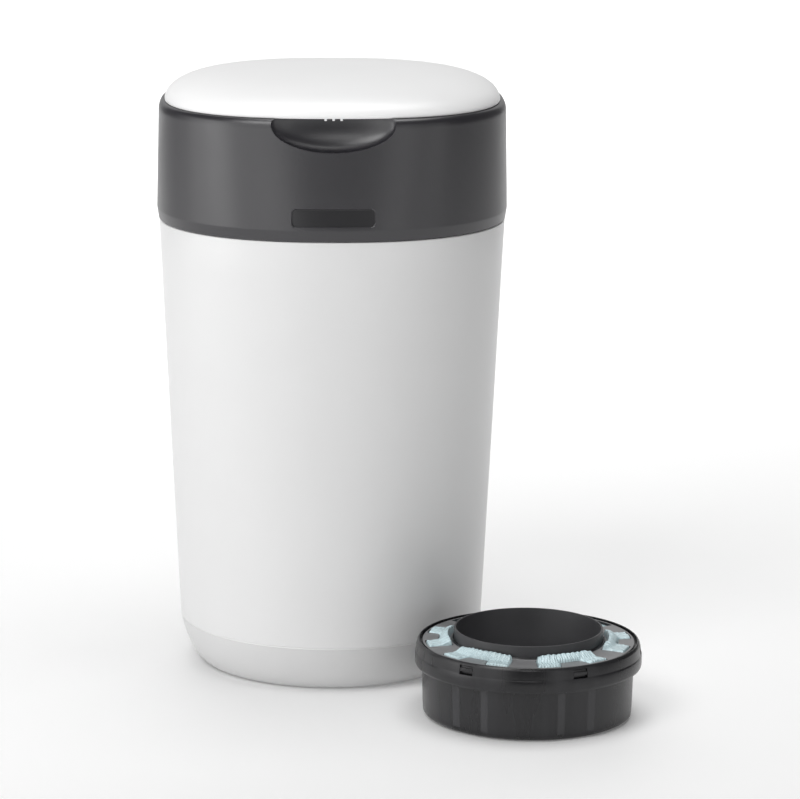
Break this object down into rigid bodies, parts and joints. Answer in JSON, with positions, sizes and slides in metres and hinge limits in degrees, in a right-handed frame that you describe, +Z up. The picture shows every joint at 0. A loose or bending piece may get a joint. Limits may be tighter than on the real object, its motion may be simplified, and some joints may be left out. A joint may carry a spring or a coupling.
{
  "type": "nappy bin",
  "caption": "Tall nappy bin with a hinged head, a domed lid and a twisting film cassette, with a spare refill cassette beside it.",
  "frame": {"origin": "centre of the tub's flat base, on the floor", "axes": "+Z up, -Y to the front with the finger scoop, +X to the right seen from the front"},
  "size_m": [0.3534, 0.3781, 0.4494],
  "materials": {
    "white_plastic": "satin white moulded plastic",
    "inner_white": "matt white moulded plastic",
    "charcoal_plastic": "satin charcoal moulded plastic with a fine grain",
    "grey_plastic": "matt grey moulded plastic",
    "cassette_plastic": "semi-gloss dark moulded plastic",
    "film": "crumpled pale film",
    "rubber": "soft matt rubber",
    "steel": "bright steel"
  },
  "bodies": {
    "tub": {"tub": "white_plastic", "head_hinge_pin": "steel"},
    "head": {"head_shell": "charcoal_plastic", "inner_deck": "grey_plastic", "mechanism_housing": "grey_plastic", "film_gripper": "rubber", "cutter_guide": "grey_plastic", "lid_hinge_pin": "steel", "housing_screw_1": "steel", "housing_screw_2": "steel", "housing_screw_3": "steel", "housing_screw_4": "steel"},
    "lid": {"lid_shell": "white_plastic", "lid_liner": "inner_white", "lid_seal": "rubber", "plunger": "inner_white"},
    "turntable": {"cassette_holder": "grey_plastic", "ratchet_ring": "cassette_plastic", "twist_dial": "grey_plastic", "loaded_cassette_body": "cassette_plastic", "loaded_cassette_cap": "cassette_plastic", "loaded_cassette_film": "film"},
    "pawl": {"ratchet_pawl": "grey_plastic"},
    "cutter": {"cutter_carriage": "cassette_plastic", "cutter_blade": "steel", "cutter_knob": "cassette_plastic"},
    "refill": {"refill_body": "cassette_plastic", "refill_cap": "cassette_plastic", "refill_film": "film"}
  },
  "joints": [
    {"name": "head_hinge", "type": "hinge", "parent": "tub", "child": "head", "pos_m": [0, 0.1355, 0.341], "axis": [-1, 0, 0], "range_deg": [0, 95]},
    {"name": "lid_hinge", "type": "hinge", "parent": "head", "child": "lid", "pos_m": [0, 0.1334, 0.427], "axis": [-1, 0, 0], "range_deg": [0, 100]},
    {"name": "cassette_twist", "type": "hinge", "parent": "head", "child": "turntable", "pos_m": [0, 0, 0.3447], "axis": [0, 0, 1], "continuous": true},
    {"name": "pawl_click", "type": "hinge", "parent": "head", "child": "pawl", "pos_m": [-0.09058, 0.0523, 0.378], "axis": [0, 0, 1], "range_deg": [0, 8], "stiffness_Nm_per_rad": 0.02},
    {"name": "cutter_slide", "type": "slide", "parent": "head", "child": "cutter", "axis": [1, 0, 0], "range_m": [0, 0.13]},
    {"name": "refill_lift", "type": "slide", "parent": "tub", "child": "refill", "axis": [0, 0, 1], "range_m": [0, 0.1]}
  ]
}
